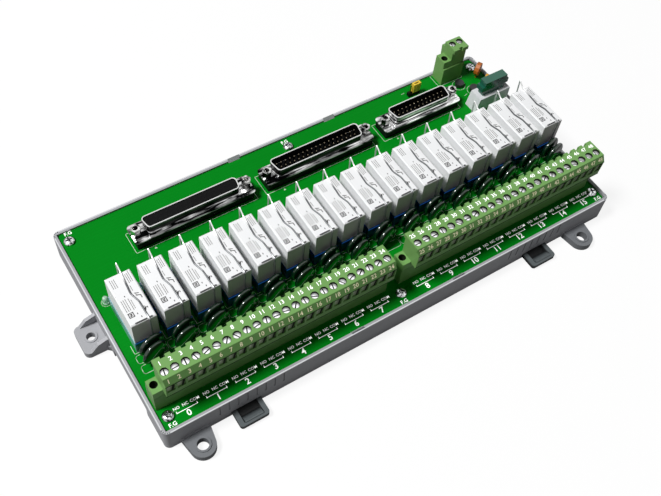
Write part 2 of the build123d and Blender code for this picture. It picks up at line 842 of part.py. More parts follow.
field_size = (terminal_poles, field_plug_top, field_overhang)
supply_size = (supply_poles, supply_plug_top, supply_overhang)
strips = {
    "left": (left_pole_one, terminal_row_y, False, field_size),
    "right": (right_pole_one, terminal_row_y, False, field_size),
    "supply": (supply_pole_one_x, supply_row_y, True, supply_size),
}
for name, (x, y, faces_back, size) in strips.items():
    for piece, shapes in (
        ("terminal_header", terminal_header(size[0])),
        ("terminal_plug", terminal_plug(*size)),
        ("clamp_screws", clamp_screws(*size)),
        ("wire_clamps", wire_clamps(*size)),
        ("header_pins", header_pins(size[0])),
    ):
        save(f"{name}_{piece}", seated(shapes, Pos(x, y, board_top), faces_back))

channels = range(relay_count)
for i in channels:
    save(f"relay_{i + 1:02d}", relay(i))
save("relay_sockets", [relay_socket(i) for i in channels])
save("relay_clips", [relay_clip(i) for i in channels])
save("surge_varistors", [varistor(i, row) for i in channels for row in (0, 1)])
save("status_lamps", [status_lamp(i) for i in channels])

long_size = (long_flange, long_shell, long_screw_spacing, long_contacts)
short_size = (short_flange, short_shell, short_screw_spacing, short_contacts)
connectors = {
    "left": (left_connector_x, long_size, True),
    "middle": (middle_connector_x, long_size, False),
    "right": (right_connector_x, short_size, False),
}
posts = []
for name, (x, (flange, shell, spacing, count), is_socket) in connectors.items():
    place = Pos(x, connector_row_y, 0)
    save(f"{name}_connector_shell", place * connector_shell(flange, shell, is_socket))
    save(f"{name}_connector_insulator", place * connector_insulator(flange, shell, is_socket))
    if not is_socket:
        save(f"{name}_connector_pins", [place * pin for pin in contact_pins(count)])
    posts += [place * s for s in jack_posts(spacing)]
save("connector_jack_posts", posts)

save("fuse_holder", fuse_holder())
save("blade_fuse", blade_fuse())
save("jumper_base", jumper_base())
save("jumper_pins", jumper_pins())
save("jumper_cap", jumper_cap())
save("capacitor_cans", [capacitor_can(x, y) for x, y in can_places])
save("disc_capacitor", leaded_disc(disc_place, disc_diameter, disc_thickness, disc_lift))
save("small_disc_capacitor",
     leaded_disc(small_disc_place, small_disc_diameter, small_disc_thickness, small_disc_lift))
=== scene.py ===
import math
import bpy
import bmesh
import numpy as np
from mathutils import Matrix


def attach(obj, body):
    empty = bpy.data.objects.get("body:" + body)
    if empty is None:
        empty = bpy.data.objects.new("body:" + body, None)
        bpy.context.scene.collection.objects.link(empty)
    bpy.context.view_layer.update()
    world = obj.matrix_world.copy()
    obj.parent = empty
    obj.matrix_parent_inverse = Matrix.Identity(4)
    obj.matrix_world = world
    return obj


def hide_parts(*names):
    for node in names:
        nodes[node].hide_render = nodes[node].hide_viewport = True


# A board of sixteen plug-in relays on a grey moulded carrier that snaps onto a rail.
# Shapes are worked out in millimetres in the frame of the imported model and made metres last.

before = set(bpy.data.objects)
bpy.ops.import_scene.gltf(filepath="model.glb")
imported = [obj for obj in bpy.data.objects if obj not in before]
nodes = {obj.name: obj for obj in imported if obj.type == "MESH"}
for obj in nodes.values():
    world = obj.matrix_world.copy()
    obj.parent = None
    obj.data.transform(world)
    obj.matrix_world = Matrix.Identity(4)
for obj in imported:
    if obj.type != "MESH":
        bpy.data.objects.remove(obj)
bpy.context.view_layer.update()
print("frame loaded,", len(nodes), "nodes")

carrier = {"halfLength": 135.5, "halfWidth": 63.5, "boardTop": 15.0}
relays = {"count": 16, "firstX": -120.8, "pitch": 16.38, "rowY": -4.1, "length": 29.0, "top": 39.0,
          "socketTop": 23.3}
polePitch = 5.08
plugs = {
    "left": {"poles": 24, "poleOne": -125.2, "screwY": -48.8, "top": 45.0, "hole": (-130.24, -45.8, 31.9)},
    "right": {"poles": 24, "poleOne": 9.7, "screwY": -48.8, "top": 45.0, "hole": (4.66, -45.8, 31.9)},
    "supply": {"poles": 2, "poleOne": 112.3, "screwY": 58.0, "top": 40.0, "hole": (107.26, 56.8, 31.9)},
}
fieldPlugs = (plugs["left"], plugs["right"])
relayX = relays["firstX"] + relays["pitch"] * np.arange(relays["count"])
board = carrier["boardTop"]


def poleXs(plug):
    # poleOne + k pitch, for each of the plug's poles
    return plug["poleOne"] + polePitch * np.arange(plug["poles"])


# materials

def toLinear(code):
    # sRGB to linear: c / 12.92 up to 0.04045, above it ((c + 0.055) / 1.055) ^ 2.4
    parts = [int(code[i:i + 2], 16) / 255 for i in (1, 3, 5)]
    return [c / 12.92 if c <= 0.04045 else ((c + 0.055) / 1.055) ** 2.4 for c in parts] + [1.0]


def addNode(tree, kind, settings=None, values=None, links=None):
    # one node with its own settings, socket values and links {socket: (node, output)}
    node = tree.nodes.new("ShaderNode" + kind)
    for name, value in (settings or {}).items():
        setattr(node, name, value)
    for name, value in (values or {}).items():
        node.inputs[name].default_value = value
    for name, (source, output) in (links or {}).items():
        tree.links.new(source.outputs[output], node.inputs[name])
    return node


def noise(tree, vector, sizeMm, detail):
    # soft noise with features of this many millimetres
    return addNode(tree, "TexNoise", values={"Scale": 1000.0 / sizeMm, "Detail": detail},
                   links={"Vector": vector})


def twoTones(tree, look, share):
    # from the look's first tone to its second as the share goes from 0 to 1
    return addNode(tree, "Mix", {"data_type": "RGBA"},
                   {6: toLinear(look["tones"][0]), 7: toLinear(look["tones"][1])}, {0: share})


def underBands(tree, place, look, tone):
    # the tone times a colour for each height or depth: the place along the axis, from the first band's to the
    # last one's, as 0 to 1
    if "bands" not in look:
        return tone
    stops = look["bands"]
    start, end = stops[0][0], stops[-1][0]
    parts = addNode(tree, "SeparateXYZ", links={"Vector": (place, "Object")})
    along = addNode(tree, "MapRange", values={"From Min": start / 1000, "From Max": end / 1000},
                    links={"Value": (parts, look["axis"])})
    ramp = addNode(tree, "ValToRGB", links={"Fac": (along, "Result")})
    elements = ramp.color_ramp.elements
    for stop in stops[1:-1]:
        elements.new((stop[0] - start) / (end - start))
    for element, stop in zip(elements, stops):
        element.color = toLinear(stop[1])
    return addNode(tree, "Mix", {"data_type": "RGBA", "blend_type": "MULTIPLY"}, {0: 1.0},
                   {6: (tone, 2), 7: (ramp, "Color")})


def startMaterial(name, shaderValues):
    # an empty material with one shader, and the node that gives the place on the object
    material = bpy.data.materials.new(name)
    material.use_nodes = True
    tree = material.node_tree
    tree.nodes.clear()
    place = addNode(tree, "TexCoord")
    shader = addNode(tree, "BsdfPrincipled", values=shaderValues)
    addNode(tree, "OutputMaterial", links={"Surface": (shader, "BSDF")})
    return material, tree, place, shader


def linkLook(tree, shader, tone, grain, gloss, relief):
    # the tone colours the surface; one grain moves the roughness within `gloss` and raises a relief, given as
    # (strength, millimetres)
    rough = addNode(tree, "MapRange", values={"To Min": gloss[0], "To Max": gloss[1]},
                    links={"Value": (grain, "Fac")})
    bump = addNode(tree, "Bump", values={"Strength": relief[0], "Distance": relief[1] / 1000},
                   links={"Height": (grain, "Fac")})
    tree.links.new(tone.outputs[2], shader.inputs["Base Color"])
    tree.links.new(rough.outputs["Result"], shader.inputs["Roughness"])
    tree.links.new(bump.outputs["Normal"], shader.inputs["Normal"])


def moulded(name, look):
    # plastic from a mould: two close tones in slow clouds, a fine grain in gloss and in relief
    shaderValues = {"IOR": look.get("ior", 1.5), "Specular IOR Level": look.get("specular", 0.5),
                    **look.get("shader", {})}
    material, tree, place, shader = startMaterial(name, shaderValues)
    clouds = noise(tree, (place, "Object"), look["cloudMm"], 2.0)
    grain = noise(tree, (place, "Object"), look["grainMm"], 3.0)
    tone = underBands(tree, place, look, twoTones(tree, look, (clouds, "Fac")))
    gloss = (look["roughness"] - 0.06, look["roughness"] + 0.06)
    linkLook(tree, shader, tone, grain, gloss, look["relief"])
    return material


def metal(name, look):
    # bare or plated metal: fine scratches along one way change tone, gloss and relief. The second tone's
    # share goes from 0 to 1 within `spread` of the scratches' middle. A glow is painted light: it gives back
    # some of the tone as light, a painted reflection of bright walls round polished plate.
    material, tree, place, shader = startMaterial(name, {"Metallic": look.get("metallic", 1.0)})
    stretch = addNode(tree, "Mapping", values={"Scale": look["stretch"]}, links={"Vector": (place, "Object")})
    scratches = noise(tree, (stretch, "Vector"), look["scratchMm"], 3.0)
    middle, spread = look.get("middle", 0.5), look.get("spread", 0.5)
    share = addNode(tree, "MapRange", values={"From Min": middle - spread, "From Max": middle + spread},
                    links={"Value": (scratches, "Fac")})
    tone = underBands(tree, place, look, twoTones(tree, look, (share, "Result")))
    if "glow" in look:
        shader.inputs["Emission Strength"].default_value = look["glow"]
        tree.links.new(tone.outputs[2], shader.inputs["Emission Color"])
    gloss = (look["roughness"] * 0.7, look["roughness"] * 1.3)
    linkLook(tree, shader, tone, scratches, gloss, relief=(0.15, 0.02))
    return material


def solderMask(name, look):
    # green lacquer over glass cloth and copper: tracks as slightly lighter bands, the weave as faint relief
    material, tree, place, shader = startMaterial(name, {"IOR": 1.5, "Specular IOR Level": look["specular"]})
    tracks = addNode(tree, "TexBrick", {"offset": 0.37, "squash": 1.0},
                     {"Scale": 1.0, "Brick Width": look["trackRunMm"] / 1000,
                      "Row Height": look["trackMm"] / 1000, "Mortar Size": look["trackGapMm"] / 1000,
                      "Mortar Smooth": 0.6,
                      "Color1": (1, 1, 1, 1), "Color2": (0.6, 0.6, 0.6, 1), "Mortar": (0, 0, 0, 1)},
                     {"Vector": (place, "Object")})
    clouds = noise(tree, (place, "Object"), look["cloudMm"], 2.0)
    weave = noise(tree, (place, "Object"), look["weaveMm"], 1.0)
    share = addNode(tree, "Math", {"operation": "MULTIPLY"}, {1: look["trackShow"]}, {0: (tracks, "Color")})
    tint = twoTones(tree, look, (clouds, "Fac"))
    tone = addNode(tree, "Mix", {"data_type": "RGBA"}, {7: toLinear(look["track"])},
                   {0: (share, 0), 6: (tint, 2)})
    linkLook(tree, shader, tone, weave, look["gloss"], look["relief"])
    return material


polyamide = dict(cloudMm=14, grainMm=0.4, relief=(0.15, 0.03), specular=0.3)
phenolic = dict(cloudMm=2, grainMm=0.5, relief=(0.25, 0.04))
ink = dict(cloudMm=3, grainMm=0.2, roughness=0.55, relief=(0.05, 0.005))
plastics = {
    # ABS of the carrier, spark-eroded mould: satin grey with a fine even grain; painted light along Y: the
    # front wall's outer face paler as if lit, the front ears darker as painted shadow
    "abs_carrier": dict(
        tones=("#dee0e5", "#e6e7ec"), cloudMm=60, grainMm=0.5, roughness=0.5, relief=(0.18, 0.04),
        specular=0.35, axis="Y", bands=[(-70, "#787a7b"), (-64.2, "#787a7b"), (-63.8, "#ffffff"),
        (-63.48, "#ffffff"), (-63.46, "#b1b1b1"), (60, "#b1b1b1")]),
    # acetal latches: dark and a little waxy, darker towards the bottom as painted shade, darkest down in the
    # finger pocket
    "acetal_latch": dict(
        tones=("#4d5355", "#575d5f"), cloudMm=30, grainMm=0.7, roughness=0.42, relief=(0.15, 0.03),
        specular=0.3, axis="Z", bands=[(1.8, "#303030"), (2.2, "#505050"), (3.5, "#ffffff"),
        (4.2, "#ffffff")]),
    # polyamide terminal blocks: leaf green, softly glossy with faint flow clouds
    "polyamide_green": dict(polyamide, tones=("#67944f", "#739f5c"), roughness=0.42),
    # polyamide of the marker strips and field headers: the same in a darker olive
    "polyamide_olive": dict(polyamide, tones=("#5f8a4a", "#557e42"), roughness=0.5),
    # PBT relay cases: clean white with a fine matt grain; the front faces tinted pink, painted to cancel the
    # green light bounced onto them
    "pbt_white": dict(
        tones=("#e4e5e6", "#ecedee"), cloudMm=20, grainMm=0.35, roughness=0.46, relief=(0.12, 0.02),
        specular=0.3, axis="Y", bands=[(-18.8, "#ffd2f0"), (-18.59, "#ffd2f0"), (-18.57, "#ffffff"),
        (12, "#ffffff")]),
    # tinted polycarbonate sockets: blue, with a painted highlight that makes the row's end face pale, where
    # the light falls
    "polycarbonate_blue": dict(
        tones=("#a9d3da", "#98c6d2"), cloudMm=6, grainMm=0.5, roughness=0.22, relief=(0.1, 0.02), ior=1.58,
        shader={"Transmission Weight": 0.3}, specular=0.3, axis="X", bands=[(-127.6, "#ffffff"),
        (-127.43, "#ffffff"), (-127.41, "#2a5aa0"), (140, "#2a5aa0")]),
    # glass-filled PBT of the connectors: black, slightly cloudy gloss
    "pbt_black": dict(
        tones=("#070708", "#0c0d0d"), cloudMm=8, grainMm=0.3, roughness=0.38, relief=(0.15, 0.02),
        specular=0.08),
    # the same plastic painted darker as shade, down inside the contact holes, the collars and the end slot,
    # where hardly any light comes back
    "pbt_black_painted_shade": dict(
        tones=("#020202", "#040404"), cloudMm=2, grainMm=0.2, roughness=0.6, relief=(0.05, 0.01),
        specular=0.1),
    # epoxy dip of the varistors: bottle green, wet gloss, orange-peel relief
    "epoxy_dip_green": dict(
        tones=("#021a0b", "#042412"), cloudMm=5, grainMm=1.6, roughness=0.1, relief=(0.02, 0.02),
        specular=0.3, shader={"Coat Weight": 1.0, "Coat Roughness": 0.03}),
    # clear epoxy lamps with a green tint; near-white clouds as painted highlights, and a faint painted glow
    "clear_epoxy_green": dict(
        tones=("#128a44", "#f0fff6"), cloudMm=1.2, grainMm=0.8, roughness=0.12, relief=(0.03, 0.01),
        ior=1.53, shader={"Transmission Weight": 0.4, "Emission Color": toLinear("#9fe8bb"),
        "Emission Strength": 0.06}),
    # PBT of the fuse holder: off-white with a soft grain
    "pbt_holder": dict(
        tones=("#d6d7d9", "#c9cbce"), cloudMm=9, grainMm=0.4, roughness=0.45, relief=(0.15, 0.03)),
    # fuse body: tinted nylon, glossy
    "nylon_fuse_green": dict(
        tones=("#095a45", "#074a38"), cloudMm=6, grainMm=0.6, roughness=0.24, relief=(0.08, 0.02),
        shader={"Coat Weight": 0.3, "Coat Roughness": 0.1}),
    # jumper cap: yellow PBT
    "pbt_yellow": dict(
        tones=("#e3bf35", "#eccb4a"), cloudMm=3, grainMm=0.3, roughness=0.4, relief=(0.1, 0.02)),
    # sleeve of the low cans: black PVC film
    "pvc_sleeve_black": dict(
        tones=("#0c0d0e", "#161718"), cloudMm=2, grainMm=0.3, roughness=0.3, relief=(0.08, 0.01)),
    # phenolic dip of the disc capacitors: matt ochre and amber with tiny pits
    "phenolic_orange": dict(phenolic, tones=("#b4641c", "#9f5213"), roughness=0.4),
    "phenolic_amber": dict(phenolic, tones=("#dca022", "#c98b18"), roughness=0.35),
    # screen-printed ink, dense white and crisp on the green, with a painted glow that keeps it bright in the
    # shade
    "ink_white": dict(
        ink, tones=("#fbfcfa", "#f4f6f2"), shader={"Emission Color": toLinear("#ffffff"),
        "Emission Strength": 0.35}),
    # the thin outlines of the same print let the lacquer's green through
    "ink_thin_line": dict(ink, tones=("#c2d2bf", "#b2c6ae")),
    # faded grey ink of the relays' small print
    "ink_grey": dict(ink, tones=("#5a5a58", "#8c8c8a"), cloudMm=1.2, roughness=0.6, relief=(0.02, 0.005)),
    # warm white ink on the plugs' marker strips
    "ink_warm_white": dict(ink, tones=("#efe9b6", "#f7f3d2")),
    # the plugs' green painted dark as shade, where openings and steps lie in their own shadow
    "polyamide_shadow": dict(
        tones=("#0b1207", "#141d0d"), cloudMm=3, grainMm=0.3, roughness=0.7, relief=(0.05, 0.01),
        specular=0.1),
    # ABS at the rim's outer edge, painted pale as a highlight where the edge catches the light
    "abs_edge_highlight": dict(
        tones=("#d2d3d7", "#c6c7cb"), cloudMm=9, grainMm=0.4, roughness=0.45, relief=(0.05, 0.01)),
    # the sockets' top front edges: bright blue with a painted glow, as a painted highlight
    "polycarbonate_edge_highlight": dict(
        tones=("#2f6fc4", "#2563b4"), cloudMm=4, grainMm=0.4, roughness=0.3, relief=(0.05, 0.01),
        shader={"Emission Color": toLinear("#1f5fb4"), "Emission Strength": 0.3}),
    # black ink of the relays' edge marks
    "ink_black": dict(ink, tones=("#161616", "#2a2a2a"), cloudMm=2, roughness=0.5),
}
drawn = dict(scratchMm=2.6, stretch=(0.25, 1.5, 1.5), axis="Z")
metals = {
    # bright zinc plate on the screws, with turning marks and a painted glow
    "zinc_plate": dict(
        tones=("#f6f6f8", "#dcdcde"), roughness=0.3, scratchMm=0.5, stretch=(1, 4, 1), glow=0.3),
    # drawn stainless spring wire: painted shade makes it dull in front and along the top, a painted highlight
    # bright at the tail
    "stainless_wire": dict(
        tones=("#ffffff", "#dadada"), roughness=0.4, scratchMm=0.4, stretch=(3, 0.3, 3), axis="Y",
        metallic=0.8, bands=[(-19.0, "#a0a2a4"), (-17.6, "#a0a2a4"), (-16.0, "#606264"), (3.0, "#56585a"),
        (9.0, "#ffffff"), (11.0, "#ffffff")]),
    # tinned brass pins and jaws
    "tinned_brass": dict(tones=("#c9c7bd", "#b3b0a4"), roughness=0.3, scratchMm=0.4, stretch=(1, 1, 3)),
    # the clamp cages seen deep in the wire openings: the same tin, tinted green as a painted reflection of the
    # plastic round it, with a painted glow
    "tinned_cage": dict(
        tones=("#a4b098", "#7e8a72"), roughness=0.35, scratchMm=0.6, stretch=(1, 1, 2), metallic=0.6,
        glow=0.12),
    # the short shell's drawn steel under thin nickel: bright and black bands up its height as painted
    # reflections, stark streaks along the draw, partly painted reflection, and a painted glow
    "drawn_shell": dict(
        drawn, tones=("#ffffff", "#3a3b3c"), roughness=0.22, glow=0.42, spread=0.12, bands=[
        (20.9, "#d8d8d8"), (21.45, "#f0f0f0"), (21.55, "#040404"), (22.5, "#040404"), (22.7, "#ffffff"),
        (23.8, "#ffffff"), (23.9, "#040404"), (24.8, "#040404"), (25.0, "#f0f0f0"), (26.6, "#b8b8b8"),
        (27.4, "#8c8c8c")]),
    # the two long shells: the same nickel, painted blackish beside the relays and with one bright line at the
    # foot, as painted reflections, and a painted glow
    "drawn_shell_dark": dict(
        drawn, tones=("#ffffff", "#0c0d0e"), roughness=0.2, glow=0.36, spread=0.09, middle=0.47, bands=[
        (20.9, "#b4b4b4"), (21.45, "#c8c8c8"), (21.6, "#040404"), (22.0, "#fafafa"), (22.9, "#fafafa"),
        (23.1, "#141414"), (25.6, "#242424"), (27.4, "#5c5c5c")]),
    # the same nickel painted near white on rims and draw edges, as a painted highlight
    "nickel_edge_highlight": dict(tones=("#f0f0ee", "#dedede"), roughness=0.2, scratchMm=0.7, stretch=(0.4, 3, 3)),
    # turned posts: nickel with turning marks round the axis in stark near-white and near-black, partly painted
    # reflection
    "nickel_posts": dict(
        tones=("#f4f4f2", "#101112"), roughness=0.16, scratchMm=2.2, stretch=(0.6, 0.6, 2), spread=0.1),
    # machine screws of the board: noise marks in stark blackish and bright tones, partly painted reflection
    "zinc_dark": dict(
        tones=("#f0f2f4", "#2e3032"), roughness=0.2, scratchMm=1.4, stretch=(1, 1, 1), spread=0.12),
    # gold on the round pins, greyed at the tips and painted dark as shade down inside the shell
    "gold_flash": dict(
        tones=("#fff4e0", "#e8dcc8"), roughness=0.3, scratchMm=0.3, stretch=(1, 1, 2), axis="Z",
        bands=[(22.0, "#0c0b0a"), (25.8, "#141210"), (26.1, "#76736c"), (26.4, "#8c8880")]),
    # the jumper's square pins in plain gold
    "gold_pins": dict(tones=("#b79a58", "#94793c"), roughness=0.3, scratchMm=0.3, stretch=(1, 1, 2)),
}
materials = {name: moulded(name, look) for name, look in plastics.items()}
materials.update({name: metal(name, look) for name, look in metals.items()})
maskLook = {"tones": ("#037f18", "#027616"), "track": "#078a22", "trackShow": 0.18, "trackMm": 1.9,
            "trackRunMm": 22.0, "trackGapMm": 0.35, "weaveMm": 0.8, "cloudMm": 45, "specular": 0.04,
            "gloss": (0.3, 0.38), "relief": (0.08, 0.03)}
materials["solder_mask_green"] = solderMask("solder_mask_green", maskLook)
print("materials made:", len(materials))

finishes = {
    "carrier_tray": "abs_carrier", "rail_latch_left": "acetal_latch", "rail_latch_right": "acetal_latch",
    "circuit_board": "solder_mask_green", "relay_sockets": "polycarbonate_blue", "fuse_holder": "pbt_holder",
    "blade_fuse": "nylon_fuse_green", "jumper_base": "pbt_black", "jumper_pins": "gold_pins",
    "jumper_cap": "pbt_yellow", "capacitor_cans": "pvc_sleeve_black", "disc_capacitor": "phenolic_orange",
    "small_disc_capacitor": "phenolic_amber", "surge_varistors": "epoxy_dip_green",
    "status_lamps": "clear_epoxy_green", "board_screws": "zinc_plate", "relay_clips": "stainless_wire",
    "connector_jack_posts": "nickel_posts",
}
for side in ("left", "right", "supply"):
    finishes[side + "_terminal_header"] = "polyamide_green" if side == "supply" else "polyamide_olive"
    finishes[side + "_terminal_plug"] = "polyamide_green"
    finishes[side + "_clamp_screws"] = "zinc_plate"
    finishes[side + "_wire_clamps"] = "tinned_cage"
    finishes[side + "_header_pins"] = "tinned_brass"
for side in ("left", "middle", "right"):
    finishes[side + "_connector_shell"] = "drawn_shell" if side == "right" else "drawn_shell_dark"
    finishes[side + "_connector_insulator"] = "pbt_black"
    if side != "left":
        finishes[side + "_connector_pins"] = "gold_flash"
for i in range(relays["count"]):
    finishes[f"relay_{i + 1:02d}"] = "pbt_white"
for name, node in nodes.items():
    node.data.materials.clear()
    node.data.materials.append(materials[finishes[name]])
print("frame nodes finished")


# surfaces

def gridFaces(across, rows, closed):
    # quads (i, j), (i + 1, j), (i + 1, j + 1), (i, j + 1) of a grid, the rows closed into rings or open
    i, j = np.meshgrid(np.arange(across if closed else across - 1), np.arange(rows - 1))
    k = (i + 1) % across
    below, above = j * across, (j + 1) * across
    return np.stack([below + i, below + k, above + k, above + i], -1).reshape(-1, 4)


def revolve(profile, sides):
    # x = r cos t, y = r sin t, z = z for every (r, z) of the profile
    t = np.linspace(0, 2 * np.pi, sides, endpoint=False)
    r, z = np.asarray(profile, float).T
    points = np.stack([np.outer(r, np.cos(t)), np.outer(r, np.sin(t)), np.repeat(z[:, None], sides, 1)], -1)
    return points.reshape(-1, 3), gridFaces(sides, len(r), True)


def bendPath(corners, bend, steps=5):
    # each corner P becomes (1 - t)^2 S + 2 t (1 - t) P + t^2 E, with S and E on its two runs, `bend` from P
    p = np.asarray(corners, float)
    back, ahead = p[:-2] - p[1:-1], p[2:] - p[1:-1]
    lengthBack = np.linalg.norm(back, axis=1, keepdims=True)
    lengthAhead = np.linalg.norm(ahead, axis=1, keepdims=True)
    s = p[1:-1] + back * np.minimum(bend / lengthBack, 0.45)
    e = p[1:-1] + ahead * np.minimum(bend / lengthAhead, 0.45)
    t = np.linspace(0, 1, steps)[None, :, None]
    arcs = (1 - t) ** 2 * s[:, None] + 2 * t * (1 - t) * p[1:-1, None] + t ** 2 * e[:, None]
    return np.vstack([p[:1], arcs.reshape(-1, 3), p[-1:]])


def tube(path, radius, sides):
    # p(s) + radius (cos t n + sin t b): a circle carried along the path, its ends closed by a point
    path = np.asarray(path, float)
    tangent = np.gradient(path, axis=0)
    tangent /= np.linalg.norm(tangent, axis=1, keepdims=True)
    n = np.cross(tangent, (1.0, 0.0, 0.0))
    n /= np.linalg.norm(n, axis=1, keepdims=True)
    b = np.cross(tangent, n)
    t = np.linspace(0, 2 * np.pi, sides, endpoint=False)
    ring = np.cos(t)[None, :, None] * n[:, None] + np.sin(t)[None, :, None] * b[:, None]
    wall = path[:, None] + radius * ring
    ends = [np.repeat(end[:, None], sides, 1) for end in (path[:1], path[-1:])]
    points = np.concatenate([ends[0], wall, ends[1]])
    return points.reshape(-1, 3), gridFaces(sides, len(path) + 2, True)


def slottedHead(radius, height, slot, depth, dome=0.0):
    # x = u r, y = v sqrt(r^2 - x^2), z = dome (1 - (x^2 + y^2) / r^2), less `depth` in the slot, and -height
    # at the rim
    half = slot / radius / 2
    u = np.array([-1, -0.92, -0.7, -half, -half, half, half, 0.7, 0.92, 1])
    inSlot = np.array([0, 0, 0, 0, 1, 1, 0, 0, 0, 0])
    v = np.array([-1, -1, -0.9, -0.5, 0, 0.5, 0.9, 1, 1])
    x = radius * u[:, None] * np.ones_like(v)[None]
    y = v[None] * np.sqrt(np.maximum(radius ** 2 - x ** 2, 0))
    z = dome * (1 - (x ** 2 + y ** 2) / radius ** 2) - depth * inSlot[:, None] * np.ones_like(v)[None]
    z[:, [0, -1]] = -height
    return np.stack([x, y, z], -1).reshape(-1, 3), gridFaces(len(v), len(u), False)


def repeatAt(shape, places, turns=None):
    # one shape at many places, turned by its own angle a: place + (x cos a - y sin a, x sin a + y cos a, z)
    points, faces = shape
    places = np.asarray(places, float)
    turns = np.zeros(len(places)) if turns is None else np.asarray(turns, float)
    c, s = np.cos(turns)[:, None], np.sin(turns)[:, None]
    x = points[:, 0] * c - points[:, 1] * s
    y = points[:, 0] * s + points[:, 1] * c
    z = np.broadcast_to(points[:, 2], x.shape)
    moved = np.stack([x, y, z], -1) + places[:, None]
    steps = np.arange(len(places))[:, None, None] * len(points)
    return moved.reshape(-1, 3), (faces[None] + steps).reshape(-1, faces.shape[1])


def join(*shapes):
    # several shapes with faces of one kind as one: each face list is shifted by the points before it
    starts = np.cumsum([0] + [len(points) for points, faces in shapes[:-1]])
    return (np.vstack([points for points, faces in shapes]),
            np.vstack([faces + start for start, (points, faces) in zip(starts, shapes)]))


def toTriangles(shape):
    # each quad a, b, c, d as a, b, c and a, c, d
    points, faces = shape
    return points, np.vstack([faces[:, :3], faces[:, [0, 2, 3]]])


weldDistance, sharpAngle = 2e-6, math.radians(38)


def makePiece(name, shape, finish, replaces=(), solid=True, smooth=True):
    # points / 1000 as a mesh in metres. A solid is welded and its faces turned outward. The piece replaces the
    # nodes whose place and form it has.
    points, faces = shape
    mesh = bpy.data.meshes.new(name)
    mesh.from_pydata((points / 1000).tolist(), [], faces.tolist())
    if solid:
        shell = bmesh.new()
        shell.from_mesh(mesh)
        bmesh.ops.remove_doubles(shell, verts=shell.verts, dist=weldDistance)
        bmesh.ops.recalc_face_normals(shell, faces=shell.faces)
        shell.to_mesh(mesh)
        shell.free()
    mesh.polygons.foreach_set("use_smooth", np.full(len(mesh.polygons), smooth))
    mesh.materials.append(materials[finish])
    mesh.validate()
    piece = bpy.data.objects.new(name, mesh)
    bpy.context.scene.collection.objects.link(piece)
    if solid and smooth:
        mesh.set_sharp_from_angle(angle=sharpAngle)
    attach(piece, "board_assembly")
    for node in replaces:
        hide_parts(node)


# relay clips

clip = {"wire": 0.8, "bend": 0.9, "lift": 0.1, "gap": 0.75, "foot": 4.1, "frontX": 2.6,
        "bowX": (2.4, 0.8, 1.8), "bowY": (-4.1, 1.2), "tailX": 1.6, "tailBack": 3.4, "tailRise": 3.2,
        "legX": 1.4, "legBack": 2.4}
top = relays["top"] + clip["wire"] / 2 + clip["lift"]
foot = board + clip["foot"]
front = relays["rowY"] - relays["length"] / 2 - clip["gap"]
behind = relays["rowY"] + relays["length"] / 2
legY = behind + clip["legBack"]
clipRoute = bendPath([
    (clip["frontX"], front, foot), (clip["frontX"], front, top),
    (clip["bowX"][0], relays["rowY"] + clip["bowY"][0], top),
    (clip["bowX"][1], relays["rowY"] + clip["bowY"][1], top),
    (clip["bowX"][2], behind, top), (clip["tailX"], behind + clip["tailBack"], top + clip["tailRise"]),
    (clip["legX"], legY, relays["socketTop"]), (clip["legX"], legY, foot),
], clip["bend"])
clipPlaces = np.stack([relayX, 0 * relayX, 0 * relayX], -1)
clipShape = tube(clipRoute, clip["wire"] / 2, sides=8)
makePiece("relay_clip_wires", repeatAt(clipShape, clipPlaces), "stainless_wire",
          replaces=["relay_clips"])

# varistors

varistor = {"radius": 7.0, "half": 1.55, "rearGap": 3.6, "spacing": 4.4, "drift": -0.3, "turn": 0.24,
            "unevenTurn": 0.03, "rise": 7.0, "leadSpread": 3.75, "lead": 0.4, "leadZ": (-6.0, -6.6, -7.2),
            "skin": [(0, 1), (0.55, 0.97), (0.8, 0.86), (0.92, 0.62), (0.985, 0.3), (1, 0)]}
r, h = varistor["radius"], varistor["half"]
discProfile = [(r * a, h * b) for a, b in varistor["skin"]]
discProfile += [(a, -b) for a, b in discProfile[-2::-1]]
points, faces = revolve(discProfile, sides=28)
upright = points[:, [0, 2, 1]]       # the disc's axis goes along Y
lead = tube([(0, 0, z) for z in varistor["leadZ"]], varistor["lead"], sides=6)
varistorShape = join((upright, faces), (lead[0] + (-varistor["leadSpread"] / 2, 0, 0), lead[1]),
                     (lead[0] + (varistor["leadSpread"] / 2, 0, 0), lead[1]))
rearY, z = relays["rowY"] - relays["length"] / 2 - varistor["rearGap"], board + varistor["rise"]
varistorPlaces = np.array([(x + varistor["drift"] * k, rearY - varistor["spacing"] * k, z)
                           for x in relayX for k in range(2)])
# hand-set discs lean a little off square, each by its own small angle
uneven = varistor["unevenTurn"]
varistorTurns = varistor["turn"] + np.random.default_rng(7).uniform(-uneven, uneven, len(varistorPlaces))
makePiece("varistor_discs", repeatAt(varistorShape, varistorPlaces, varistorTurns), "epoxy_dip_green",
          replaces=["surge_varistors"])

# status lamps

lamp = {"radius": 1.5, "height": 5.0, "sideX": -7.6, "rowY": 13.4, "collar": 0.25, "collarTop": 0.9}
r, h = lamp["radius"], lamp["height"]
t = np.linspace(0, np.pi / 2, 6)
dome = [(r * math.cos(a), h - r + r * math.sin(a)) for a in t]
wide = r + lamp["collar"]
collar = [(0, 0.02), (wide, 0.02), (wide, lamp["collarTop"]), (r, lamp["collarTop"] + 0.05)]
lampShape = revolve(collar + dome, sides=20)
lampPlaces = [(x + lamp["sideX"], lamp["rowY"], board) for x in relayX]
makePiece("status_lamp_domes", repeatAt(lampShape, lampPlaces), "clear_epoxy_green",
          replaces=["status_lamps"])
print("clips, varistors and lamps made")

# screws

clampScrew = {"radius": 1.86, "height": 1.6, "slot": 0.6, "depth": 1.1, "dome": 0.12, "wellDepth": 3.0,
              "rise": 1.65, "shadeReach": 0.97, "shadeDrop": 0.2}
clampShape = slottedHead(clampScrew["radius"], clampScrew["height"], clampScrew["slot"], clampScrew["depth"],
                         clampScrew["dome"])
